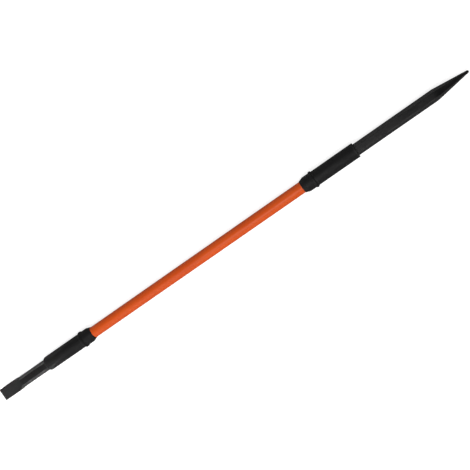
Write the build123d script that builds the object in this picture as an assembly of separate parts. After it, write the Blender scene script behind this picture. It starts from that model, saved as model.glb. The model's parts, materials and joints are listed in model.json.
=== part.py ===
from build123d import *
import os
from math import sqrt

# Insulated digging bar: a chisel end and a point end of hexagonal steel, joined by a solid
# fibreglass core that is sheathed in an orange sleeve. A black rubber guard covers each joint.
# Millimetres. X runs along the bar, from the chisel edge to the point, Z is up.
# The origin is under mid-length, on the floor that the two guard beads rest on.

# ---- Driving dimensions: the bar's stations ----
overall_length = 1525.0      # chisel edge to point tip
chisel_reach = 167.0         # bare steel, from the chisel edge to its guard
point_reach = 331.0          # bare steel, from the point tip to its guard
guard_length = 165.0         # one guard, from its steel side to its mouth on the shaft

# ---- Driving dimensions: steel ends ----
hex_flats = 28.6             # bar stock, across flats
hex_corners = hex_flats * 2 / sqrt(3)
blade_width = 35.8
blade_edge_thickness = 2.6
blade_square_length = 62.0   # chisel edge to the last square-sided section
blade_root_length = 74.0     # chisel edge to the crease where the full hexagon begins
taper_length = 97.0          # point, from the full hexagon to the tip
tip_width = 8.0              # across corners, where the tip is blunted
tip_nose_width = 4.0
tip_nose_length = 2.8
tip_drift = 1.5              # the forged tip stands this far off the bar's axis, towards +Y
seat_diameter = 27.6         # turned round from the guard's steel side to the coupling
spigot_length = 60.0         # turned end that the coupling is pressed on

# ---- Driving dimensions: shaft ----
core_diameter = 26.5
shaft_diameter = 32.0
bond_thickness = 0.25

# ---- Driving dimensions: coupling and its cross pins ----
coupling_diameter = 36.0
coupling_bore = core_diameter + 2 * bond_thickness
coupling_start = 8.0         # from the guard's steel side
coupling_end = 142.0
coupling_chamfer = 0.8
weld_leg_along = 3.7
weld_leg_out = coupling_diameter / 2 - coupling_chamfer
pin_diameter = 6.0
pin_bore = 3.6
pin_slot = 1.2
pin_length = 35.0
pin_stations = (86.0, 116.0)  # from the guard's steel side; the second pin is turned 90 degrees

# ---- Driving dimensions: guard ----
guard_sleeve_diameter = 41.0
guard_collar_diameter = 41.8
chisel_guard_edge = 4.0      # rounding of the sleeve's outer edge on the steel side
point_guard_edge = 1.0
bead_diameter = 47.0
bead_width = 8.0
bead_station = 130.0         # from the guard's steel side to the bead's middle
cone_length = 12.5
mouth_lip = 0.8              # rubber thickness at the mouth
seal_thickness = 2.4
seal_station = 148.0
seal_groove_width = 3.0

# ---- Worked out ----
axis_height = bead_diameter / 2
chisel_guard_x = -overall_length / 2 + chisel_reach
point_guard_x = overall_length / 2 - point_reach
bead_start = bead_station - bead_width / 2
bead_end = bead_station + bead_width / 2
core_start = coupling_start + spigot_length


def turned(outline):
    """Solid of revolution about X from a closed list of (x, radius) corners."""
    return revolve(make_face(Polyline(*outline, close=True)), Axis.X, 360)


def tube(x_start, x_end, outer_radius, inner_radius):
    """Round tube along X."""
    return turned(
        [(x_start, inner_radius), (x_start, outer_radius), (x_end, outer_radius), (x_end, inner_radius)]
    )


def rod(x_start, x_end, radius):
    """Solid round rod along X."""
    return turned([(x_start, 0), (x_start, radius), (x_end, radius), (x_end, 0)])


def cross_section(x, outline):
    """Flat section across the bar at x, from (y, z) corners."""
    return Plane((x, 0, 0), x_dir=(0, 1, 0), z_dir=(1, 0, 0)) * Polygon(*outline, align=None)


def six_corners(x, crown_width, corner_width, height, drift=0.0):
    """Six-cornered section: flat crown and base of one width, and a corner on each side."""
    crown = crown_width / 2
    side = corner_width / 2
    top = height / 2
    outline = [(side, 0), (crown, top), (-crown, top), (-side, 0), (-crown, -top), (crown, -top)]
    return cross_section(x, [(y + drift, z) for y, z in outline])


def hexagon(x, corners=hex_corners, drift=0.0):
    """Regular hexagon across the bar, flats up and down."""
    return six_corners(x, corners / 2, corners, corners * sqrt(3) / 2, drift)


def lofted(sections):
    """Straight-sided solid through a row of sections."""
    return loft(sections, ruled=True)


def turned_end():
    """Round end of a steel bar: the guard's seat, then the spigot that fills the coupling."""
    seat = rod(0, coupling_start, seat_diameter / 2)
    return seat + rod(coupling_start, core_start, coupling_bore / 2)


def blade_thickness(distance):
    """Thickness of the chisel at a distance from its edge."""
    grow = (hex_flats - blade_edge_thickness) / blade_root_length
    return blade_edge_thickness + grow * distance


def chisel_end():
    """Hexagonal bar forged to a square-sided chisel, with a turned spigot."""
    edge, square = [
        six_corners(d - chisel_reach, blade_width, blade_width, blade_thickness(d))
        for d in (0.0, blade_square_length)
    ]
    full = hexagon(blade_root_length - chisel_reach)
    blade = lofted([edge, square]) + lofted([square, full])
    return blade + lofted([full, hexagon(0)]) + turned_end()


def point_end():
    """Hexagonal bar drawn to a blunted point, with a turned spigot."""
    tip_x = -point_reach
    drift = -tip_drift  # this end is turned round when it is placed
    tip = hexagon(tip_x, tip_nose_width, drift)
    blunt = hexagon(tip_x + tip_nose_length, tip_width, drift)
    nose = lofted([tip, blunt])
    taper = lofted([blunt, hexagon(tip_x + taper_length)])
    shank = lofted([hexagon(tip_x + taper_length), hexagon(0)])
    return nose + taper + shank + turned_end()


def pin_places():
    """Places of the cross pins: the first upright, the second across."""
    return [Pos(pin_stations[0], 0, 0), Pos(pin_stations[1], 0, 0) * Rot(90, 0, 0)]


def pin_holes():
    """Drill-throughs for the cross pins."""
    return [place * Cylinder(pin_diameter / 2, 2 * coupling_diameter) for place in pin_places()]


def cross_pins():
    """Two slotted spring pins, the second turned 90 degrees from the first."""
    shell = Cylinder(pin_diameter / 2, pin_length) - Cylinder(pin_bore / 2, pin_length)
    slot = Pos(-pin_diameter / 2, 0, 0) * Box(pin_diameter, pin_slot, pin_length)
    pins = [place * (shell - slot) for place in pin_places()]
    return pins[0] + pins[1]


def coupling():
    """Steel tube that joins the spigot to the core."""
    body = tube(coupling_start, coupling_end, coupling_diameter / 2, coupling_bore / 2)
    rims = body.edges().filter_by(GeomType.CIRCLE).filter_by(lambda e: e.radius > coupling_bore / 2 + 1)
    body = chamfer(rims, coupling_chamfer)
    for hole in pin_holes():
        body -= hole
    return body


def weld_outline():
    """Corners of the fillet weld between the seat and the coupling's end."""
    weld_start = coupling_start - weld_leg_along
    seat = seat_diameter / 2
    return [(weld_start, seat), (coupling_start, weld_leg_out), (coupling_start, seat)]


def weld_ring():
    """Fillet weld all round the seat."""
    return turned(weld_outline())


def bond_layer():
    """Adhesive film between the core and the coupling."""
    film = tube(core_start, coupling_end, coupling_bore / 2, core_diameter / 2)
    for hole in pin_holes():
        film -= hole
    return film


def guard_sleeve(edge_rounding):
    """Rubber sleeve over the coupling, closed by a wall moulded round the seat and the weld."""
    outer = guard_sleeve_diameter / 2
    wall = tube(0, coupling_start, outer, seat_diameter / 2)
    body = wall + tube(coupling_start, bead_start, outer, coupling_diameter / 2)
    rims = body.edges().filter_by(GeomType.CIRCLE).group_by(Axis.X)[0]
    body = fillet(rims.sort_by(lambda rim: rim.radius)[-1], edge_rounding)
    return body - weld_ring()


def guard_collar():
    """Rubber collar with a hand-stop bead, stepped down from the coupling to the shaft."""
    outer = guard_collar_diameter / 2
    over_coupling = coupling_diameter / 2
    over_shaft = shaft_diameter / 2
    bead_foot = guard_sleeve_diameter / 2
    mouth = over_shaft + mouth_lip
    path = [
        Line((bead_start, over_coupling), (bead_start, bead_foot)),
        ThreePointArc((bead_start, bead_foot), (bead_station, bead_diameter / 2), (bead_end, outer)),
        Line((bead_end, outer), (guard_length - cone_length, outer)),
        Line((guard_length - cone_length, outer), (guard_length, mouth)),
        Line((guard_length, mouth), (guard_length, over_shaft)),
        Line((guard_length, over_shaft), (coupling_end, over_shaft)),
        Line((coupling_end, over_shaft), (coupling_end, over_coupling)),
        Line((coupling_end, over_coupling), (bead_start, over_coupling)),
    ]
    body = revolve(make_face(Curve() + path), Axis.X, 360)
    groove_start = seal_station - seal_groove_width / 2
    groove_end = seal_station + seal_groove_width / 2
    return body - tube(groove_start, groove_end, over_shaft + seal_thickness, over_shaft - 1)


def seal_ring():
    """Sealing ring in the collar's groove, seated on the shaft."""
    ring = Torus(shaft_diameter / 2 + seal_thickness / 2, seal_thickness / 2)
    return Pos(seal_station, 0, 0) * Rot(0, 90, 0) * ring


def core_rod():
    """Solid fibreglass rod that carries the load and keeps the steel ends apart."""
    body = rod(chisel_guard_x + core_start, point_guard_x - core_start, core_diameter / 2)
    for hole in pin_holes():
        body -= Pos(chisel_guard_x, 0, 0) * hole
        body -= Pos(point_guard_x, 0, 0) * Rot(0, 0, 180) * hole
    return body


def shaft_sleeve():
    """Orange insulating tube over the core, between the two couplings."""
    start = chisel_guard_x + coupling_end
    end = point_guard_x - coupling_end
    return tube(start, end, shaft_diameter / 2, core_diameter / 2)


def at_chisel(shape):
    """Places an end's piece at the chisel side, its guard's steel side first."""
    return Pos(chisel_guard_x, 0, axis_height) * shape


def at_point(shape):
    """Places an end's piece at the point side, turned end for end."""
    return Pos(point_guard_x, 0, axis_height) * Rot(0, 0, 180) * shape


def write(name, shape):
    """Writes one node."""
    export_step(shape, f"parts/{name}.step")


os.makedirs("parts", exist_ok=True)
write("chisel_end", at_chisel(chisel_end()))
write("point_end", at_point(point_end()))
write("chisel_guard_sleeve", at_chisel(guard_sleeve(chisel_guard_edge)))
write("point_guard_sleeve", at_point(guard_sleeve(point_guard_edge)))
for side, place in (("chisel", at_chisel), ("point", at_point)):
    write(f"{side}_coupling", place(coupling()))
    write(f"{side}_weld", place(weld_ring()))
    write(f"{side}_cross_pins", place(cross_pins()))
    write(f"{side}_bond", place(bond_layer()))
    write(f"{side}_guard_collar", place(guard_collar()))
    write(f"{side}_seal_ring", place(seal_ring()))
write("core_rod", Pos(0, 0, axis_height) * core_rod())
write("shaft_sleeve", Pos(0, 0, axis_height) * shaft_sleeve())
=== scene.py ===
"""Insulated digging bar: forged steel ends, rubber guards, an orange shaft and the studio round them.

Metres. The bar lies along X with its point towards +X, and Z is up. Every place is worked out from
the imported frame; each end is shaped in its own frame, whose zero is the guard's steel side.
"""

import json
import logging
import math
from dataclasses import dataclass
from enum import Enum
from typing import Any, Callable, Iterable, Optional

import bmesh
import bpy
from mathutils import Matrix, Vector, noise
from mathutils.geometry import interpolate_bezier


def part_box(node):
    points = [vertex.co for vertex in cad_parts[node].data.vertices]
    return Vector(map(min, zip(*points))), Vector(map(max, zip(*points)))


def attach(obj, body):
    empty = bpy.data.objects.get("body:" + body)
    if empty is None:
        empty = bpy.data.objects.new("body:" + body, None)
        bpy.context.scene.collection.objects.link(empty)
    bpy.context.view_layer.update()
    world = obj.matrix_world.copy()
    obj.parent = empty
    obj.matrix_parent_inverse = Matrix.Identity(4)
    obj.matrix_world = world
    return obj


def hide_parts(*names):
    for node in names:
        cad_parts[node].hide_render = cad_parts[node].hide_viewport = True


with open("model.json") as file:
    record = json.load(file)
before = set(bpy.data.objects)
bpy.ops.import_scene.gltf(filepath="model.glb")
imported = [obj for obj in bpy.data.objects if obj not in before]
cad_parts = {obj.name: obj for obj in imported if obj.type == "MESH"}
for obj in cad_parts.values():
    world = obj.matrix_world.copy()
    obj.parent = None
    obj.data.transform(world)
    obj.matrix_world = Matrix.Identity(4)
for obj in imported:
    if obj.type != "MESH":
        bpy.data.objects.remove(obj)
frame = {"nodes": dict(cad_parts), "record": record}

LOG = logging.getLogger("digging_bar")
ROOT = "root"
WEAR_LAYER = "edge_wear"
MM = 0.001
NEAR_ZERO = 1e-7
SEAT_RADIUS = 13.8 * MM
CORNER_SHARE = 0.3
HANDLE_SHARE = 2 / 3
NOISE_RANGE = (0.3, 0.7)
SCUFF_SLANT = 0.7
FRACTAL = (1.0, 2.1, 3)  # dimension, step from one octave to the next, and number of octaves

Tree = bpy.types.NodeTree
Mesh = bmesh.types.BMesh
Pair = tuple[float, float]


class Side(Enum):
    """The two ends of the bar, named as their pieces are."""

    CHISEL = "chisel"
    POINT = "point"


def linear(red: int, green: int, blue: int) -> tuple[float, float, float, float]:
    """Linear colour of an sRGB colour given in steps of 0 to 255."""
    def channel(step: int) -> float:
        share = step / 255
        return share / 12.92 if share <= 0.04045 else ((share + 0.055) / 1.055) ** 2.4

    return channel(red), channel(green), channel(blue), 1.0


# ------------------------ shader nodes


def join(tree: Tree, node: Any, sockets: dict) -> None:
    """Sets a node's inputs by name or index, or joins them where an output socket is given."""
    for key, value in sockets.items():
        if isinstance(value, bpy.types.NodeSocket):
            tree.links.new(value, node.inputs[key])
        else:
            node.inputs[key].default_value = value


def add_node(tree: Tree, kind: str, sockets: Optional[dict] = None, **settings: Any) -> Any:
    """Adds a shader node, sets it and joins it.

    Args:
        tree: The node tree that the node goes in.
        kind: The node's class name, without its ShaderNode prefix.
        sockets: Input name or index to a value, or to an output socket that is joined to it.
        **settings: Properties of the node itself, such as operation.

    Returns:
        The new node.
    """
    node = tree.nodes.new("ShaderNode" + kind)
    for name, value in settings.items():
        setattr(node, name, value)
    join(tree, node, sockets or {})
    return node


def math_node(tree: Tree, operation: str, *values: Any, clamp: bool = False) -> Any:
    """Output of a Math node on one to three values or sockets."""
    sockets = dict(enumerate(values))
    return add_node(tree, "Math", sockets, operation=operation, use_clamp=clamp).outputs[0]


def spread(tree: Tree, value: Any, low: float, high: float,
           start: float = 0.0, end: float = 1.0) -> Any:
    """Output of a clamped Map Range node from low..high to start..end."""
    sockets = {"Value": value, "From Min": low, "From Max": high, "To Min": start, "To Max": end}
    return add_node(tree, "MapRange", sockets, clamp=True).outputs["Result"]


def blend_colours(tree: Tree, mask: Any, under: Any, over: Any) -> Any:
    """Output of a colour Mix node: under where the mask is 0, over where it is 1."""
    sockets = {"Factor": mask, 6: under, 7: over}
    return add_node(tree, "Mix", sockets, data_type="RGBA").outputs[2]


class NodeGroup:
    """A shader effect that several finishes share, built once and placed with its own values."""

    def __init__(self, name: str, inputs: dict[str, float], outputs: list[str],
                 make: Callable[[Tree, Any], dict[str, Any]]) -> None:
        """Builds the group.

        Args:
            name: The group's name.
            inputs: Each input's name and its usual value.
            outputs: The outputs' names, all of them plain values.
            make: Adds the nodes, given the tree and the group's input node, and returns
                the socket behind each output.
        """
        self.tree = bpy.data.node_groups.new(name, "ShaderNodeTree")
        for label, usual in inputs.items():
            socket = self.tree.interface.new_socket(label, in_out="INPUT", socket_type="NodeSocketFloat")
            socket.default_value = usual
        for label in outputs:
            self.tree.interface.new_socket(label, in_out="OUTPUT", socket_type="NodeSocketFloat")
        given = self.tree.nodes.new("NodeGroupInput")
        out = self.tree.nodes.new("NodeGroupOutput")
        for label, socket in make(self.tree, given).items():
            self.tree.links.new(socket, out.inputs[label])

    def place(self, tree: Tree, **values: Any) -> Any:
        """Places the group in a tree, with its values given by input name, and returns its outputs."""
        return add_node(tree, "Group", values, node_tree=self.tree).outputs


def stretched_position(tree: Tree, along: Any, across: Any) -> Any:
    """Object position in metres, multiplied by one number along the bar and another across it."""
    place = add_node(tree, "TexCoord").outputs["Object"]
    stretch = add_node(tree, "CombineXYZ", {"X": along, "Y": across, "Z": across}).outputs[0]
    return add_node(tree, "VectorMath", {0: place, 1: stretch}, operation="MULTIPLY").outputs[0]


def noise_at(tree: Tree, place: Any, detail: Any, roughness: float = 0.5) -> Any:
    """Output of a noise, 0 to 1, with about one patch for each unit of place."""
    sockets = {"Vector": place, "Scale": 1.0, "Detail": detail, "Roughness": roughness}
    return add_node(tree, "TexNoise", sockets).outputs[0]


def make_grain(tree: Tree, given: Any) -> dict[str, Any]:
    """Noise with its own scale along and across the bar: streaks, rings or plain speckle."""
    place = stretched_position(tree, given.outputs["Along"], given.outputs["Across"])
    return {"Grain": noise_at(tree, place, given.outputs["Detail"], roughness=0.55)}


def make_edge_wear(tree: Tree, given: Any) -> dict[str, Any]:
    """Mask of the rubbed edges: the mesh's own edge attribute, broken up by noise."""
    edge = add_node(tree, "Attribute", attribute_name=WEAR_LAYER).outputs["Fac"]
    fine, knocks = (
        noise_at(tree, stretched_position(tree, given.outputs[name], given.outputs[name]), detail)
        for name, detail in (("Fineness", 4.0), ("Knocks", 3.0)))
    rubbed = math_node(tree, "MULTIPLY", spread(tree, knocks, low=0.42, high=0.66, start=0.12),
                       spread(tree, fine, low=0.36, high=0.62, start=0.1))
    mask = math_node(tree, "MULTIPLY", spread(tree, edge, low=0.35, high=0.8), rubbed)
    return {"Mask": math_node(tree, "MULTIPLY", mask, given.outputs["Amount"], clamp=True)}


def make_scuffs(tree: Tree, given: Any) -> dict[str, Any]:
    """Mask of thin scratches, most of them along the bar, gathered in patches."""
    lengthwise = stretched_position(tree, along=24.0, across=given.outputs["Fineness"])
    slanting = add_node(tree, "VectorRotate", {"Vector": lengthwise, "Angle": SCUFF_SLANT},
                        rotation_type="Z_AXIS").outputs[0]
    lines = [spread(tree, noise_at(tree, place, detail), low=0.665, high=0.72)
             for place, detail in ((lengthwise, 1.0), (slanting, 2.0))]
    patches = noise_at(tree, stretched_position(tree, along=14.0, across=30.0), detail=2.0)
    where = spread(tree, patches, low=0.47, high=0.62)
    mask = math_node(tree, "MULTIPLY", math_node(tree, "MAXIMUM", *lines), where)
    return {"Mask": math_node(tree, "MULTIPLY", mask, given.outputs["Amount"], clamp=True)}


def make_dust(tree: Tree, given: Any) -> dict[str, Any]:
    """Mask of fine dust that has stayed in a soft, cloudy film."""
    cloud = noise_at(tree, stretched_position(tree, along=9.0, across=22.0), detail=6.0, roughness=0.62)
    specks = noise_at(tree, stretched_position(tree, along=900.0, across=900.0), detail=1.0)
    film = math_node(tree, "ADD", spread(tree, cloud, low=0.38, high=0.72),
                     spread(tree, specks, low=0.62, high=0.72, end=0.6))
    return {"Mask": math_node(tree, "MULTIPLY", film, given.outputs["Amount"], clamp=True)}


@dataclass(frozen=True)
class Effects:
    """The shared node groups."""

    grain: NodeGroup
    edge_wear: NodeGroup
    scuffs: NodeGroup
    dust: NodeGroup

    @classmethod
    def build(cls) -> "Effects":
        """Builds each group once."""
        grain_inputs = {"Along": 200.0, "Across": 200.0, "Detail": 3.0}
        wear_inputs = {"Amount": 1.0, "Fineness": 420.0, "Knocks": 34.0}
        return cls(
            grain=NodeGroup("surface_grain", grain_inputs, ["Grain"], make_grain),
            edge_wear=NodeGroup("edge_wear", wear_inputs, ["Mask"], make_edge_wear),
            scuffs=NodeGroup("scuffs", {"Amount": 1.0, "Fineness": 1500.0}, ["Mask"], make_scuffs),
            dust=NodeGroup("dust_film", {"Amount": 1.0}, ["Mask"], make_dust),
        )


# ------------------------ finishes


@dataclass(frozen=True)
class Finish:
    """A finish: its record slot and how it is shaded.

    Each finish adds its own pattern in paint(), around one Principled shader. A range holds the
    two noise values that a mask fades between, and roughness holds its lowest and highest value.
    """

    effects: Effects
    slot: str = ""
    roughness: Pair = (0.3, 0.5)

    def build(self) -> bpy.types.Material:
        """Makes the material."""
        material = bpy.data.materials.new(self.slot)
        material.use_nodes = True
        tree = material.node_tree
        shader = tree.nodes["Principled BSDF"]
        self.paint(tree, shader)
        return material

    def paint(self, tree: Tree, shader: Any) -> None:
        """Joins the finish's pattern to the shader."""
        raise NotImplementedError

    def grain(self, tree: Tree, along: float, across: float, detail: float) -> Any:
        """Value of the shared grain, at scales along the bar and across it."""
        return self.effects.grain.place(tree, Along=along, Across=across, Detail=detail)["Grain"]

    def rough_from(self, tree: Tree, grain: Any) -> Any:
        """Roughness that follows a grain."""
        return spread(tree, grain, *NOISE_RANGE, *self.roughness)

    @staticmethod
    def bump(tree: Tree, shader: Any, layers: Iterable[tuple[Any, float, float]]) -> None:
        """Stacks bumps, each of (height socket, strength, distance in metres), into the shader's normal."""
        normal = None
        for height, strength, distance in layers:
            sockets = {"Height": height, "Strength": strength, "Distance": distance}
            if normal is not None:
                sockets["Normal"] = normal
            normal = add_node(tree, "Bump", sockets).outputs[0]
        tree.links.new(normal, shader.inputs["Normal"])

    @staticmethod
    def feed(tree: Tree, shader: Any, **sockets: Any) -> None:
        """Joins or sets the shader's inputs, named with underscores for their spaces."""
        join(tree, shader, {name.replace("_", " "): value for name, value in sockets.items()})


@dataclass(frozen=True)
class LacqueredSteel(Finish):
    """Forged steel under a thin black lacquer, with blast grain, forging shade and rubbed edges."""

    slot: str = "lacquered_steel"
    roughness: Pair = (0.31, 0.43)
    lacquer: tuple = linear(7, 7, 8)
    thin_lacquer: tuple = linear(15, 14, 14)
    scale: tuple = linear(46, 37, 30)
    bare: tuple = linear(104, 101, 98)
    cloud_range: Pair = (0.35, 0.68)
    freckle_range: Pair = (0.66, 0.74)
    freckle_share: float = 0.5
    blast_roughness: float = 0.06
    bare_metal: float = 0.85
    specular: float = 0.28

    def paint(self, tree: Tree, shader: Any) -> None:
        """Joins cloudy lacquer, brown freckles, bare edges and a blasted grain."""
        cloud = self.grain(tree, along=26.0, across=60.0, detail=5.0)
        freckles = self.grain(tree, along=520.0, across=640.0, detail=4.0)
        blast = self.grain(tree, along=2100.0, across=2100.0, detail=2.0)
        draw = self.grain(tree, along=14.0, across=900.0, detail=3.0)
        worn = self.effects.edge_wear.place(tree, Amount=0.7)["Mask"]
        scratch = self.effects.scuffs.place(tree, Amount=0.3)["Mask"]
        colour = blend_colours(tree, spread(tree, cloud, *self.cloud_range), self.lacquer, self.thin_lacquer)
        freckled = spread(tree, freckles, *self.freckle_range, end=self.freckle_share)
        colour = blend_colours(tree, freckled, colour, self.scale)
        bared = math_node(tree, "MAXIMUM", worn, scratch)
        colour = blend_colours(tree, bared, colour, self.bare)
        pitted = math_node(tree, "MULTIPLY", spread(tree, blast, *NOISE_RANGE), self.blast_roughness)
        rough = math_node(tree, "ADD", self.rough_from(tree, cloud), pitted)
        self.feed(tree, shader, Base_Color=colour, Roughness=rough, Specular_IOR_Level=self.specular,
                  Metallic=math_node(tree, "MULTIPLY", bared, self.bare_metal))
        self.bump(tree, shader, [(cloud, 0.4, 0.5 * MM), (draw, 0.15, 0.06 * MM), (blast, 0.55, 0.09 * MM)])


@dataclass(frozen=True)
class BlackRubber(Finish):
    """Moulded black rubber with a fine matt grain, a little bloom and a few pale scuffs."""

    slot: str = "black_rubber"
    roughness: Pair = (0.56, 0.70)
    body: tuple = linear(8, 8, 9)
    bloom: tuple = linear(22, 22, 22)
    scuffed: tuple = linear(54, 53, 52)
    valley_range: Pair = (0.62, 0.4)
    valley_share: float = 0.45
    worn_polish: float = 0.18
    specular: float = 0.24

    def paint(self, tree: Tree, shader: Any) -> None:
        """Joins the bloom, scuffs, rubbed rims and moulding grain."""
        pebble = self.grain(tree, along=1500.0, across=1500.0, detail=2.0)
        flow = self.grain(tree, along=40.0, across=120.0, detail=4.0)
        dust = self.effects.dust.place(tree, Amount=0.30)["Mask"]
        scratch = self.effects.scuffs.place(tree, Amount=0.35, Fineness=1100.0)["Mask"]
        worn = self.effects.edge_wear.place(tree, Amount=0.55, Knocks=55.0)["Mask"]
        valleys = spread(tree, pebble, *self.valley_range, end=self.valley_share)
        colour = blend_colours(tree, math_node(tree, "MAXIMUM", dust, valleys), self.body, self.bloom)
        marked = math_node(tree, "MAXIMUM", scratch, worn)
        colour = blend_colours(tree, marked, colour, self.scuffed)
        polish = math_node(tree, "MULTIPLY", worn, self.worn_polish)
        rough = math_node(tree, "SUBTRACT", self.rough_from(tree, flow), polish)
        self.feed(tree, shader, Base_Color=colour, Roughness=rough, Metallic=0.0,
                  Specular_IOR_Level=self.specular)
        self.bump(tree, shader, [(flow, 0.25, 0.3 * MM), (pebble, 0.9, 0.16 * MM)])


@dataclass(frozen=True)
class OrangePlastic(Finish):
    """Extruded orange polypropylene: faint draw lines, a waxy gloss and light handling marks."""

    slot: str = "orange_polypropylene"
    roughness: Pair = (0.36, 0.46)
    body: tuple = linear(222, 86, 24)
    deep: tuple = linear(211, 78, 20)
    scuffed: tuple = linear(236, 138, 84)
    shade_range: Pair = (0.35, 0.65)
    scratch_roughness: float = 0.25
    specular: float = 0.16

    def paint(self, tree: Tree, shader: Any) -> None:
        """Joins the shade, draw lines, handling marks and orange-peel."""
        shade = self.grain(tree, along=7.0, across=40.0, detail=4.0)
        draw = self.grain(tree, along=3.0, across=1300.0, detail=3.0)
        peel = self.grain(tree, along=420.0, across=520.0, detail=2.0)
        scratch = self.effects.scuffs.place(tree, Amount=0.40, Fineness=1900.0)["Mask"]
        dust = self.effects.dust.place(tree, Amount=0.05)["Mask"]
        colour = blend_colours(tree, spread(tree, shade, *self.shade_range), self.body, self.deep)
        pale = math_node(tree, "MAXIMUM", scratch, dust)
        colour = blend_colours(tree, pale, colour, self.scuffed)
        dulled = math_node(tree, "MULTIPLY", scratch, self.scratch_roughness)
        rough = math_node(tree, "ADD", self.rough_from(tree, draw), dulled)
        self.feed(tree, shader, Base_Color=colour, Roughness=rough, Metallic=0.0,
                  Specular_IOR_Level=self.specular)
        self.bump(tree, shader, [(peel, 0.12, 0.05 * MM), (draw, 0.22, 0.03 * MM)])


@dataclass(frozen=True)
class BareSteel(Finish):
    """Machined or welded bare steel, with turning marks round it and a warm heat tint."""

    slot: str = "bare_steel"
    roughness: Pair = (0.26, 0.44)
    bright: tuple = linear(176, 173, 168)
    dull: tuple = linear(138, 132, 124)
    tint_range: Pair = (0.35, 0.65)

    def paint(self, tree: Tree, shader: Any) -> None:
        """Joins turning rings and tint."""
        rings = self.grain(tree, along=3800.0, across=14.0, detail=3.0)
        tint = self.grain(tree, along=70.0, across=90.0, detail=5.0)
        colour = blend_colours(tree, spread(tree, tint, *self.tint_range), self.bright, self.dull)
        self.feed(tree, shader, Base_Color=colour, Roughness=self.rough_from(tree, rings), Metallic=1.0)
        self.bump(tree, shader, [(rings, 0.3, 0.03 * MM), (tint, 0.1, 0.05 * MM)])


@dataclass(frozen=True)
class Fibreglass(Finish):
    """Pultruded glass-fibre rod: straight fibres under clear resin, with darker resin-rich lines."""

    slot: str = "fibreglass"
    roughness: Pair = (0.3, 0.48)
    resin: tuple = linear(206, 196, 150)
    fibre: tuple = linear(228, 224, 198)
    fibre_range: Pair = (0.35, 0.6)
    roving_range: Pair = (0.3, 0.6)

    def paint(self, tree: Tree, shader: Any) -> None:
        """Joins long fibres and the resin between them."""
        fibres = self.grain(tree, along=2.0, across=2400.0, detail=4.0)
        rovings = self.grain(tree, along=1.2, across=420.0, detail=2.0)
        mask = math_node(tree, "MULTIPLY", spread(tree, fibres, *self.fibre_range),
                         spread(tree, rovings, *self.roving_range))
        self.feed(tree, shader, Base_Color=blend_colours(tree, mask, self.resin, self.fibre),
                  Roughness=self.rough_from(tree, fibres), Metallic=0.0, IOR=1.54)
        self.bump(tree, shader, [(rovings, 0.25, 0.06 * MM), (fibres, 0.2, 0.03 * MM)])


@dataclass(frozen=True)
class Epoxy(Finish):
    """Cured amber epoxy with fine air bubbles."""

    slot: str = "epoxy"
    roughness: Pair = (0.16, 0.3)
    amber: tuple = linear(190, 150, 84)
    bubbly: tuple = linear(222, 198, 146)
    bubble_range: Pair = (0.6, 0.7)

    def paint(self, tree: Tree, shader: Any) -> None:
        """Joins the bubbles and a slow ripple."""
        bubbles = self.grain(tree, along=1300.0, across=1300.0, detail=1.0)
        ripple = self.grain(tree, along=90.0, across=110.0, detail=3.0)
        mask = spread(tree, bubbles, *self.bubble_range)
        self.feed(tree, shader, Base_Color=blend_colours(tree, mask, self.amber, self.bubbly),
                  Roughness=self.rough_from(tree, ripple), Metallic=0.0, IOR=1.55)
        self.bump(tree, shader, [(ripple, 0.3, 0.1 * MM), (bubbles, 0.2, 0.04 * MM)])


@dataclass(frozen=True)
class SealRubber(Finish):
    """Smooth nitrile seal with a faint cloudy film of bloom."""

    slot: str = "seal_rubber"
    roughness: Pair = (0.36, 0.5)
    body: tuple = linear(26, 26, 27)
    bloom: tuple = linear(58, 58, 60)

    def paint(self, tree: Tree, shader: Any) -> None:
        """Joins the bloom and a fine grain."""
        grain = self.grain(tree, along=1800.0, across=1800.0, detail=2.0)
        dust = self.effects.dust.place(tree, Amount=0.35)["Mask"]
        self.feed(tree, shader, Base_Color=blend_colours(tree, dust, self.body, self.bloom),
                  Roughness=self.rough_from(tree, grain), Metallic=0.0, IOR=1.52)
        self.bump(tree, shader, [(grain, 0.2, 0.04 * MM)])


class Wardrobe:
    """All the finishes, each made once, by record slot."""

    def __init__(self) -> None:
        """Builds the shared effects and every material."""
        effects = Effects.build()
        kinds = (LacqueredSteel, BlackRubber, OrangePlastic, BareSteel, Fibreglass, Epoxy, SealRubber)
        self.materials = {finish.slot: finish.build() for finish in (kind(effects) for kind in kinds)}

    def dress(self, piece: bpy.types.Object, slot: str) -> None:
        """Gives a piece the one material of a slot."""
        piece.data.materials.clear()
        piece.data.materials.append(self.materials[slot])

    def dress_inside(self) -> None:
        """Gives every CAD node that is still shown the finish that its record slot names."""
        slots = {part["node"]: part["material_slot"] for part in frame["record"]["subparts"]}
        for name, node in sorted(frame["nodes"].items()):
            if not node.hide_render:
                self.dress(node, slots[name])
                LOG.info("%s: %s", name, slots[name])


# ------------------------ measured from the frame


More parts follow.
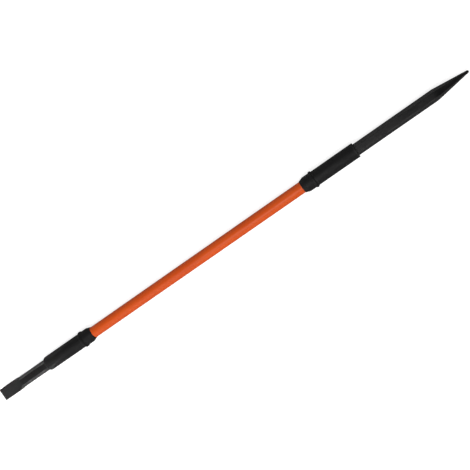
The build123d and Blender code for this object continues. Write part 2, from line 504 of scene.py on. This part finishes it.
@dataclass(frozen=True)
class EndFrame:
    """Where one end of the bar stands. Distances run from the guard's steel side towards the shaft."""

    side: Side
    guard_x: float
    axis_height: float
    turn: float
    reach: float
    guard_length: float
    sleeve_radius: float
    sleeve_length: float
    collar_bead_radius: float
    coupling_start: float
    coupling_end: float
    coupling_radius: float
    weld_length: float
    weld_radius: float
    hex_flats: float
    inner_end: float
    shaft_radius: float

    @classmethod
    def measure(cls, side: Side) -> "EndFrame":
        """Reads one end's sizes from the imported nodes."""
        def node(name: str) -> tuple[Vector, Vector]:
            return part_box(f"{side.value}_{name}")

        inward = 1.0 if side is Side.CHISEL else -1.0
        steel, sleeve, collar, coupling, weld = map(
            node, ("end", "guard_sleeve", "guard_collar", "coupling", "weld"))
        near, far = (0, 1) if side is Side.CHISEL else (1, 0)
        guard_x = sleeve[near].x

        def inside(x: float) -> float:
            return (x - guard_x) * inward

        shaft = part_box("shaft_sleeve")
        return cls(
            side=side, guard_x=guard_x, axis_height=(shaft[0].z + shaft[1].z) / 2,
            turn=0.0 if side is Side.CHISEL else math.pi, reach=-inside(steel[near].x),
            guard_length=inside(collar[far].x), sleeve_radius=(sleeve[1].z - sleeve[0].z) / 2,
            sleeve_length=inside(sleeve[far].x), collar_bead_radius=(collar[1].z - collar[0].z) / 2,
            coupling_start=inside(coupling[near].x), coupling_end=inside(coupling[far].x),
            coupling_radius=(coupling[1].z - coupling[0].z) / 2, weld_length=abs(weld[1].x - weld[0].x),
            weld_radius=(weld[1].z - weld[0].z) / 2, hex_flats=steel[1].z - steel[0].z,
            inner_end=inside(steel[far].x), shaft_radius=(shaft[1].z - shaft[0].z) / 2,
        )

    def place(self) -> Matrix:
        """Matrix from this end's frame to the bar's."""
        stand = Matrix.Translation((self.guard_x, 0.0, self.axis_height))
        return stand @ Matrix.Rotation(self.turn, 4, "Z")


# ------------------------ shaping


def mark_wear(bm: Mesh, bends: Pair) -> None:
    """Writes each vertex's edge-wear value: 0 up to the first bend, 1 from the second, in degrees."""
    flat_angle, sharp_angle = map(math.radians, bends)
    layer = bm.verts.layers.float.new(WEAR_LAYER)
    for vert in bm.verts:
        bend = max((abs(edge.calc_face_angle(0.0)) for edge in vert.link_edges), default=0.0)
        vert[layer] = min(1.0, max(0.0, (bend - flat_angle) / (sharp_angle - flat_angle)))


def roughen(bm: Mesh, depth: float, along: float, across: float, seed: float,
            where: Callable[[Vector], float] = lambda place: 1.0) -> None:
    """Presses the surface in a little, unevenly.

    Args:
        bm: The mesh, with its normals up to date.
        depth: The deepest press.
        along: Hollows for each metre along the bar.
        across: Hollows for each metre across it.
        seed: Moves the pattern, so that two pieces differ.
        where: Share of the depth at a place.
    """
    bm.normal_update()
    moves = []
    for vert in bm.verts:
        spot = Vector((vert.co.x * along + seed, vert.co.y * across, vert.co.z * across + seed))
        press = 0.5 + 0.5 * noise.fractal(spot, *FRACTAL)
        moves.append(vert.normal * (-depth * min(1.0, max(0.0, press)) * where(vert.co)))
    for vert, move in zip(bm.verts, moves):
        vert.co += move


def make_piece(name: str, bm: Mesh, place: Matrix, smooth_below: float) -> bpy.types.Object:
    """Turns a finished mesh into a piece at the origin, riding on the bar.

    Args:
        name: The piece's name.
        bm: The mesh in its own frame. It is freed here.
        place: Matrix from that frame to the bar's.
        smooth_below: Edges that bend by less than this, in degrees, are shaded smooth.

    Returns:
        The piece.
    """
    bmesh.ops.transform(bm, matrix=place, verts=bm.verts)
    bmesh.ops.recalc_face_normals(bm, faces=bm.faces)
    for face in bm.faces:
        face.smooth = True
    for edge in bm.edges:
        edge.smooth = edge.calc_face_angle(0.0) < math.radians(smooth_below)
    mesh = bpy.data.meshes.new(name)
    bm.to_mesh(mesh)
    bm.free()
    piece = bpy.data.objects.new(name, mesh)
    bpy.context.scene.collection.objects.link(piece)
    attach(piece, ROOT)
    LOG.info("%s: %d faces", name, len(mesh.polygons))
    return piece


def spin_profile(corners: list[Pair], rounded: dict[int, tuple[float, int]], steps: int,
                 longest: float) -> Mesh:
    """Closed ring of material, spun round X from its outline.

    Args:
        corners: The outline's (x, radius) corners, in order.
        rounded: Corner number to the radius that rounds it and the number of segments.
        steps: Faces round the ring.
        longest: Longer edges of the outline are divided to this length.

    Returns:
        The closed mesh.
    """
    bm = bmesh.new()
    verts = [bm.verts.new((x, 0.0, radius)) for x, radius in corners]
    for index, vert in enumerate(verts):
        bm.edges.new((vert, verts[(index + 1) % len(verts)]))
    for index, (radius, segments) in rounded.items():
        ends = [edge.other_vert(verts[index]).co - verts[index].co for edge in verts[index].link_edges]
        offset = radius / math.tan(ends[0].angle(ends[1]) / 2)
        bmesh.ops.bevel(bm, geom=[verts[index]], offset=offset, segments=segments, profile=0.5,
                        affect="VERTICES", material=-1)
    for edge in bm.edges[:]:
        cuts = math.ceil(edge.calc_length() / longest) - 1
        if cuts > 0:
            bmesh.ops.subdivide_edges(bm, edges=[edge], cuts=cuts)
    bmesh.ops.spin(bm, geom=bm.verts[:] + bm.edges[:], cent=(0, 0, 0), axis=(1, 0, 0),
                   angle=2 * math.pi, steps=steps, use_merge=True)
    return bm


# ------------------------ the steel ends


@dataclass(frozen=True)
class Section:
    """Six-cornered section across a steel end: a level crown and base, and a corner each side."""

    x: float
    crown: float
    side: float
    height: float
    drift: float = 0.0

    @classmethod
    def hexagon(cls, x: float, flats: float, drift: float = 0.0) -> "Section":
        """Regular hexagon of a size across flats, with level flats above and below."""
        corners = flats * 2 / math.sqrt(3)
        return cls(x, corners / 2, corners, flats, drift)

    def sizes(self) -> Vector:
        """Crown, side, height and drift together, for arithmetic."""
        return Vector((self.crown, self.side, self.height, self.drift))

    def outline(self, rounding: float, arc_points: int, flat_shares: tuple[float, ...]) -> list[Vector]:
        """Places round the section, with its corners rounded.

        Args:
            rounding: Length that a rounded corner takes from each of its two flats.
            arc_points: Places round each corner.
            flat_shares: Places along each flat, as shares of its length.

        Returns:
            The places, in order, starting at the corner on the +Y side.
        """
        half, top, side = self.crown / 2, self.height / 2, self.side / 2
        across = [(side, 0.0), (half, top), (-half, top), (-side, 0.0), (-half, -top), (half, -top)]
        points = [Vector((self.x, y + self.drift, z)) for y, z in across]
        arcs = []
        for index, corner in enumerate(points):
            before, after = points[index - 1], points[(index + 1) % len(points)]
            limit = CORNER_SHARE * min((before - corner).length, (after - corner).length)
            take = min(rounding, limit)
            start, stop = (corner + (other - corner).normalized() * take for other in (before, after))
            handles = [place.lerp(corner, HANDLE_SHARE) for place in (start, stop)]
            arcs.append(interpolate_bezier(start, *handles, stop, arc_points))
        places = []
        for index, arc in enumerate(arcs):
            places.extend(arc)
            following = arcs[(index + 1) % len(arcs)][0]
            places.extend(arc[-1].lerp(following, share) for share in flat_shares)
        return places


@dataclass
class SteelEnd:
    """One forged end: a loft through six-cornered sections, then the turned seat and spigot."""

    end: EndFrame
    wardrobe: Wardrobe
    edge_round: float = 0.8 * MM
    arc_points: int = 5
    flat_shares: tuple[float, ...] = (0.05, 0.16, 0.3, 0.43, 0.57, 0.7, 0.84, 0.95)
    spigot_radius: float = 13.5 * MM
    spigot_chamfer: float = 1.0 * MM
    length_step: float = 2.5 * MM
    least_step: float = 0.12 * MM
    bend_shares: tuple[float, ...] = (-1, -0.66, -0.33, 0.33, 0.66, 1)
    forge_depth: float = 0.2 * MM
    forge_along: float = 42.0
    forge_across: float = 95.0
    guard_clearance: float = 2.0 * MM
    bar_share: float = 0.35
    wear_bends: Pair = (5, 13)
    smooth_below: float = 38
    seed: float = 3.0

    def sections(self) -> list[tuple[Section, float]]:
        """Sections from the tip to the guard's steel side, each with the reach of its softened bend."""
        raise NotImplementedError

    def forging(self, place: Vector) -> float:
        """Share of the forging marks' depth at a place, none inside the guard."""
        return 1.0 if place.x < -self.guard_clearance else 0.0

    def section_at(self, x: float) -> Section:
        """The section at a station, between its neighbours and eased where the shape bends."""
        knots = self.sections()
        slopes = [(far.sizes() - near.sizes()) / (far.x - near.x)
                  for (near, _), (far, _) in zip(knots, knots[1:])]
        index = sum(knot.x < x - NEAR_ZERO for knot, _ in knots[1:-1])
        sizes = knots[index][0].sizes() + slopes[index] * (x - knots[index][0].x)
        for number, (knot, reach) in enumerate(knots[1:-1]):
            gap = reach - abs(x - knot.x)
            if gap > 0:
                sizes += (slopes[number + 1] - slopes[number]) * gap ** 2 / (4 * reach)
        return Section(x, *sizes)

    def stations(self) -> list[float]:
        """Stations of the loft's rings, closer together where the shape bends."""
        knots = self.sections()
        found = set()
        for (near, _), (far, _) in zip(knots, knots[1:]):
            count = math.ceil((far.x - near.x) / self.length_step)
            found.update(round(near.x + (far.x - near.x) * step / count, 7) for step in range(count + 1))
        for knot, reach in knots[1:-1]:
            found.update(round(knot.x + reach * share, 7) for share in self.bend_shares)
        spaced = [min(found)]
        for x in sorted(found):
            if x - spaced[-1] > self.least_step:
                spaced.append(x)
        return spaced

    def rings(self) -> list[list[Vector]]:
        """Every ring of places along the end, from its tip to the spigot's end."""
        body = [self.section_at(x).outline(self.edge_round, self.arc_points, self.flat_shares)
                for x in self.stations()]
        hexagon = body[-1]
        turned = [(0.0, SEAT_RADIUS), (self.end.coupling_start, SEAT_RADIUS),
                  (self.end.coupling_start, self.spigot_radius),
                  (self.end.inner_end - self.spigot_chamfer, self.spigot_radius),
                  (self.end.inner_end, self.spigot_radius - self.spigot_chamfer)]
        for x, radius in turned:
            spokes = [Vector((0.0, place.y, place.z)).normalized() for place in hexagon]
            body.append([Vector((x, 0.0, 0.0)) + spoke * radius for spoke in spokes])
        return body

    def loft(self) -> Mesh:
        """Grows the end from its tip, one ring at a time, closed at both ends."""
        rings = self.rings()
        bm = bmesh.new()
        bmesh.ops.create_circle(bm, cap_ends=True, radius=self.end.hex_flats, segments=len(rings[0]))
        bm.verts.ensure_lookup_table()
        verts = bm.verts[:]
        cap = bm.faces[:][0]
        for vert, place in zip(verts, rings[0]):
            vert.co = place
        for ring in rings[1:]:
            order = {tuple(vert.co): index for index, vert in enumerate(verts)}
            grown = bmesh.ops.extrude_face_region(bm, geom=[cap], use_keep_orig=False)["geom"]
            # The first cap stays and closes the tip; a later one would be a wall inside.
            if ring is not rings[1]:
                bmesh.ops.delete(bm, geom=[cap], context="FACES_ONLY")
            cap = next(part for part in grown if isinstance(part, bmesh.types.BMFace))
            fresh = [part for part in grown if isinstance(part, bmesh.types.BMVert)]
            verts = sorted(fresh, key=lambda vert: order[tuple(vert.co)])
            for vert, place in zip(verts, ring):
                vert.co = place
        return bm

    def build(self) -> None:
        """Builds and dresses the end."""
        bm = self.loft()
        bmesh.ops.recalc_face_normals(bm, faces=bm.faces)
        roughen(bm, self.forge_depth, self.forge_along, self.forge_across, self.seed, self.forging)
        mark_wear(bm, self.wear_bends)
        name = f"{self.end.side.value}_end_forged"
        piece = make_piece(name, bm, self.end.place(), self.smooth_below)
        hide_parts(f"{self.end.side.value}_end")
        self.wardrobe.dress(piece, "lacquered_steel")


@dataclass
class ChiselEnd(SteelEnd):
    """Hexagon forged to a wide chisel with square sides and a ground edge."""

    blade_width: float = 35.8 * MM
    square_length: float = 62.0 * MM
    root_length: float = 74.0 * MM
    edge_thickness: float = 2.6 * MM
    ground_length: float = 5.0 * MM
    ground_thickness: float = 1.5 * MM
    ground_share: float = 0.15
    edge_bend: float = 0.4 * MM
    crease_bend: float = 2.4 * MM

    def thickness(self, distance: float) -> float:
        """Thickness of the blade at a distance from its edge."""
        return self.edge_thickness + (self.end.hex_flats - self.edge_thickness) * distance / self.root_length

    def sections(self) -> list[tuple[Section, float]]:
        """Ground edge, blade, and the hexagon behind its crease."""
        edge = -self.end.reach
        width, flats = self.blade_width, self.end.hex_flats
        ground = edge + self.ground_length
        return [
            (Section(edge, width, width, self.ground_thickness), 0.0),
            (Section(ground, width, width, self.thickness(self.ground_length)), self.edge_bend),
            (Section(edge + self.square_length, width, width, self.thickness(self.square_length)),
             self.crease_bend),
            (Section.hexagon(edge + self.root_length, flats), self.crease_bend),
            (Section.hexagon(0.0, flats), 0.0),
        ]

    def forging(self, place: Vector) -> float:
        """Deeper marks on the forged blade than on the rolled bar."""
        from_edge = place.x + self.end.reach
        if from_edge < self.ground_length:
            return self.ground_share
        return 1.0 if from_edge < self.root_length else self.bar_share * super().forging(place)


@dataclass
class PointEnd(SteelEnd):
    """Hexagon drawn down to a blunt point that stands a little off the axis."""

    taper_length: float = 97.0 * MM
    blunt_length: float = 2.8 * MM
    blunt_corners: float = 8.0 * MM
    tip_corners: float = 4.0 * MM
    drift: float = -1.5 * MM
    blunt_share: float = 0.1
    blunt_bend: float = 0.8 * MM
    taper_bend: float = 5.0 * MM
    seed: float = 11.0

    def sections(self) -> list[tuple[Section, float]]:
        """Blunted tip, taper, and the hexagon behind it."""
        tip = -self.end.reach
        flats = self.end.hex_flats
        to_flats = math.sqrt(3) / 2
        return [
            (Section.hexagon(tip, self.tip_corners * to_flats, self.drift), 0.0),
            (Section.hexagon(tip + self.blunt_length, self.blunt_corners * to_flats, self.drift),
             self.blunt_bend),
            (Section.hexagon(tip + self.taper_length, flats), self.taper_bend),
            (Section.hexagon(0.0, flats), 0.0),
        ]

    def forging(self, place: Vector) -> float:
        """Deeper marks along the drawn taper than on the rolled bar."""
        from_tip = place.x + self.end.reach
        if from_tip < self.blunt_length:
            return self.blunt_share
        return 1.0 if from_tip < self.taper_length else self.bar_share * super().forging(place)


# ------------------------ the guards


@dataclass
class Guard:
    """Rubber guard over one joint: a sleeve on the coupling and a beaded collar on the shaft."""

    end: EndFrame
    wardrobe: Wardrobe
    steps: int = 96
    longest: float = 6.0 * MM
    bead_width: float = 8.0 * MM
    bead_draft: float = 0.6 * MM
    collar_radius: float = 20.9 * MM
    cone_length: float = 12.5 * MM
    joint_round: float = 0.35 * MM
    bead_round: float = 2.6 * MM
    foot_round: float = 0.8 * MM
    cone_round: float = 2.0 * MM
    lip_round: float = 0.25 * MM
    mouth_lip: float = 0.8 * MM
    seal_station: float = 148.0 * MM
    seal_groove_width: float = 3.0 * MM
    seal_groove_depth: float = 2.4 * MM
    seam_height: float = 0.2 * MM
    seam_half_width: float = 0.4 * MM
    seam_inset: float = 0.6 * MM
    crest_inset: float = 0.3 * MM
    bore_margin: float = 0.5 * MM
    sag_depth: float = 0.10 * MM
    sag_along: float = 30.0
    sag_across: float = 60.0
    sag_seed: float = 5.0
    wear_bends: Pair = (5, 14)
    smooth_below: float = 34

    @property
    def edge_round(self) -> float:
        """Rounding of the sleeve's rim on the steel side, softer on the chisel's guard."""
        return 4.0 * MM if self.end.side is Side.CHISEL else 1.0 * MM

    def raise_seams(self, bm: Mesh) -> None:
        """Raises the mould's parting line, a fine ridge along each side, except on the bead's crest."""
        for side in (-1, 1):
            geometry = bm.verts[:] + bm.edges[:] + bm.faces[:]
            bmesh.ops.bisect_plane(bm, geom=geometry, dist=NEAR_ZERO, plane_no=(0, 0, 1),
                                   plane_co=(0, 0, side * self.seam_half_width))
        inner = self.end.coupling_radius + self.seam_inset
        crest = self.end.collar_bead_radius - self.crest_inset
        for vert in bm.verts:
            if inner < math.hypot(vert.co.y, vert.co.z) < crest and abs(vert.co.z) < self.seam_half_width / 4:
                vert.co.y += math.copysign(self.seam_height, vert.co.y)

    def finish(self, bm: Mesh, part: str) -> None:
        """Marks, places and dresses one rubber piece."""
        mark_wear(bm, self.wear_bends)
        name = f"{self.end.side.value}_guard_{part}_moulded"
        piece = make_piece(name, bm, self.end.place(), self.smooth_below)
        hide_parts(f"{self.end.side.value}_guard_{part}")
        self.wardrobe.dress(piece, "black_rubber")

    def sleeve(self) -> None:
        """Builds the sleeve, with its end wall moulded round the seat and the weld."""
        end = self.end
        weld_start = end.coupling_start - end.weld_length
        outline = [
            (0.0, SEAT_RADIUS), (0.0, end.sleeve_radius), (end.sleeve_length, end.sleeve_radius),
            (end.sleeve_length, end.coupling_radius), (end.coupling_start, end.coupling_radius),
            (end.coupling_start, end.weld_radius), (weld_start, SEAT_RADIUS),
        ]
        rounded = {1: (self.edge_round, 6), 2: (self.joint_round, 2)}
        bm = spin_profile(outline, rounded, self.steps, self.longest)
        roughen(bm, self.sag_depth, self.sag_along, self.sag_across, self.sag_seed + end.turn,
                self.outer_share)
        self.raise_seams(bm)
        self.finish(bm, "sleeve")

    def outer_share(self, place: Vector) -> float:
        """1 on the guard's outside, and 0 in its bore, where it fits the coupling."""
        return 1.0 if math.hypot(place.y, place.z) > self.end.coupling_radius + self.bore_margin else 0.0

    def collar(self) -> None:
        """Builds the collar, with its bead, its cone and the seal's groove."""
        end = self.end
        start, bead_end = end.sleeve_length, end.sleeve_length + self.bead_width
        crown = end.collar_bead_radius
        groove = [self.seal_station + side * self.seal_groove_width / 2 for side in (-1, 1)]
        groove_radius = end.shaft_radius + self.seal_groove_depth
        cone_start = end.guard_length - self.cone_length
        outline = [
            (start, end.coupling_radius), (start, end.sleeve_radius),
            (start + self.bead_draft, crown), (bead_end - self.bead_draft, crown),
            (bead_end, self.collar_radius), (cone_start, self.collar_radius),
            (end.guard_length, end.shaft_radius + self.mouth_lip), (end.guard_length, end.shaft_radius),
            (groove[1], end.shaft_radius), (groove[1], groove_radius), (groove[0], groove_radius),
            (groove[0], end.shaft_radius), (end.coupling_end, end.shaft_radius),
            (end.coupling_end, end.coupling_radius),
        ]
        rounded = {2: (self.bead_round, 8), 3: (self.bead_round, 8), 4: (self.foot_round, 4),
                   5: (self.cone_round, 4), 6: (self.lip_round, 2)}
        bm = spin_profile(outline, rounded, self.steps, self.longest)
        self.raise_seams(bm)
        self.finish(bm, "collar")

    def build(self) -> None:
        """Builds both rubber pieces."""
        self.sleeve()
        self.collar()


# ------------------------ the shaft


@dataclass
class ShaftSleeve:
    """Extruded orange tube over the core."""

    wardrobe: Wardrobe
    steps: int = 96
    longest: float = 9.0 * MM
    bore_radius: float = 13.25 * MM
    end_round: float = 0.5 * MM
    skin: float = 0.6 * MM
    waviness: float = 0.06 * MM
    waves_along: float = 9.0
    waves_across: float = 22.0
    seed: float = 1.0
    wear_bends: Pair = (12, 40)
    smooth_below: float = 34

    def build(self) -> None:
        """Builds and dresses the tube."""
        low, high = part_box("shaft_sleeve")
        radius = (high.z - low.z) / 2
        outline = [(low.x, self.bore_radius), (low.x, radius), (high.x, radius), (high.x, self.bore_radius)]
        rounded = {1: (self.end_round, 2), 2: (self.end_round, 2)}
        bm = spin_profile(outline, rounded, self.steps, self.longest)

        def outside(place: Vector) -> float:
            return 1.0 if math.hypot(place.y, place.z) > radius - self.skin else 0.0

        roughen(bm, self.waviness, self.waves_along, self.waves_across, self.seed, outside)
        mark_wear(bm, self.wear_bends)
        place = Matrix.Translation((0, 0, (low.z + high.z) / 2))
        piece = make_piece("shaft_sleeve_extruded", bm, place, self.smooth_below)
        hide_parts("shaft_sleeve")
        self.wardrobe.dress(piece, "orange_polypropylene")


# ------------------------ the studio


@dataclass(frozen=True)
class Lamp:
    """A soft rectangular light: its place, what it faces, its size, power in watts and beam's full angle."""

    name: str
    place: tuple[float, float, float]
    aim: tuple[float, float, float]
    size: Pair
    power: float
    beam: float = math.pi

    def hang(self) -> None:
        """Makes the light and turns it to what it faces."""
        data = bpy.data.lights.new(self.name, "AREA")
        data.shape, data.energy, data.spread = "RECTANGLE", self.power, self.beam
        data.size, data.size_y = self.size
        light = bpy.data.objects.new(self.name, data)
        light.location = self.place
        facing = Vector(self.aim) - Vector(self.place)
        light.rotation_euler = facing.to_track_quat("-Z", "Y").to_euler()
        bpy.context.scene.collection.objects.link(light)


LOW_BEAM = math.radians(14)
LAMPS = (
    Lamp("key", (-0.15, -0.75, 2.4), (0.0, 0.0, 0.0), (1.3, 0.8), 35.0),
    Lamp("left_box", (-0.9, -2.0, 1.5), (-0.2, 0.0, 0.0), (1.6, 0.9), 22.0),
    Lamp("right_box", (-0.3, 2.1, 1.6), (0.0, 0.0, 0.0), (1.8, 0.9), 6.0),
    Lamp("end_box", (-2.0, 0.0, 1.15), (-0.7, 0.0, 0.02), (0.5, 1.2), 3.6),
    Lamp("low_box_near", (-0.9, -0.6, 0.2), (-0.69, 0.0, 0.03), (0.2, 0.12), 0.11, LOW_BEAM),
    Lamp("low_box_far", (-0.9, 0.6, 0.2), (-0.69, 0.0, 0.03), (0.2, 0.12), 0.05, LOW_BEAM),
)


@dataclass
class Studio:
    """Pale floor, soft lights and the camera."""

    aim_x: float = 0.0546
    distance: float = 2.205
    lean: float = math.radians(12.0)
    roll: float = math.radians(34.8)
    lens: float = 64.57
    sensor: float = 36.0
    shift: Pair = (-0.00212766, -0.00382979)
    floor_size: float = 40.0
    floor_colour: tuple = (0.5, 0.5, 0.5, 1.0)
    floor_roughness: float = 0.9
    floor_specular: float = 0.1
    floor_glow: float = 0.82
    floor_spill: float = 0.04
    backdrop_glow: float = 0.86
    wall_glow: float = 0.55
    wall_top: float = 0.05
    ceiling_start: float = 0.6
    ceiling_glow: float = 0.06

    def floor(self) -> None:
        """Lays the floor."""
        bm = bmesh.new()
        bmesh.ops.create_grid(bm, x_segments=1, y_segments=1, size=self.floor_size / 2)
        mesh = bpy.data.meshes.new("studio_floor")
        bm.to_mesh(mesh)
        bm.free()
        floor = bpy.data.objects.new("studio_floor", mesh)
        bpy.context.scene.collection.objects.link(floor)
        material = bpy.data.materials.new("studio_floor")
        material.use_nodes = True
        tree = material.node_tree
        shader = tree.nodes["Principled BSDF"]
        seen = add_node(tree, "LightPath").outputs["Is Camera Ray"]
        glow = spread(tree, seen, 0.0, 1.0, self.floor_spill, self.floor_glow)
        join(tree, shader, {
            "Base Color": self.floor_colour, "Roughness": self.floor_roughness,
            "Specular IOR Level": self.floor_specular, "Emission Color": glow, "Emission Strength": 1.0})
        mesh.materials.append(material)

    def lights(self) -> None:
        """Sets a pale room with a darker ceiling, and the soft lights."""
        world = bpy.data.worlds.new("studio")
        world.use_nodes = True
        tree = world.node_tree
        sky = add_node(tree, "SeparateXYZ", {0: add_node(tree, "TexCoord").outputs["Generated"]})
        glow = spread(tree, sky.outputs["Z"], self.wall_top, self.ceiling_start,
                      self.wall_glow, self.ceiling_glow)
        seen = add_node(tree, "LightPath").outputs["Is Camera Ray"]
        backdrop = math_node(tree, "MULTIPLY", seen, self.backdrop_glow)
        tree.links.new(math_node(tree, "MAXIMUM", glow, backdrop), tree.nodes["Background"].inputs["Color"])
        bpy.context.scene.world = world
        for lamp in LAMPS:
            lamp.hang()

    def camera(self) -> None:
        """Stands the camera over the bar, rolled so that the point is up and to the right."""
        towards = Vector((math.sin(self.lean), 0.0, math.cos(self.lean)))
        along = Vector((math.cos(self.lean), 0.0, -math.sin(self.lean)))
        across = Vector((0.0, 1.0, 0.0))
        right = along * math.cos(self.roll) - across * math.sin(self.roll)
        above = along * math.sin(self.roll) + across * math.cos(self.roll)
        data = bpy.data.cameras.new("camera")
        data.lens, data.sensor_width = self.lens, self.sensor
        data.shift_x, data.shift_y = self.shift
        data.dof.use_dof = False
        camera = bpy.data.objects.new("camera", data)
        aim = Vector((self.aim_x, 0.0, sum(corner.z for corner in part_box("shaft_sleeve")) / 2))
        turn = Matrix((right, above, towards)).transposed().to_4x4()
        camera.matrix_world = Matrix.Translation(aim + towards * self.distance) @ turn
        bpy.context.scene.collection.objects.link(camera)
        bpy.context.scene.camera = camera

    def build(self) -> None:
        """Sets up the whole studio."""
        self.floor()
        self.lights()
        self.camera()
        bpy.context.scene.view_settings.view_transform = "Standard"


def corners(bounds: tuple[Vector, Vector]) -> list[list[float]]:
    """A box's two corners as plain lists."""
    return [list(map(float, corner)) for corner in bounds]


def main() -> None:
    """Builds the bar's pieces in order, then the studio."""
    logging.basicConfig(level=logging.INFO, format="%(name)s: %(message)s")
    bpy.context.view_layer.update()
    wardrobe = Wardrobe()
    ends = {side: EndFrame.measure(side) for side in Side}
    ChiselEnd(ends[Side.CHISEL], wardrobe).build()
    PointEnd(ends[Side.POINT], wardrobe).build()
    ShaftSleeve(wardrobe).build()
    for end in ends.values():
        Guard(end, wardrobe).build()
    wardrobe.dress_inside()
    Studio().build()


if __name__ == "__main__":
    main()
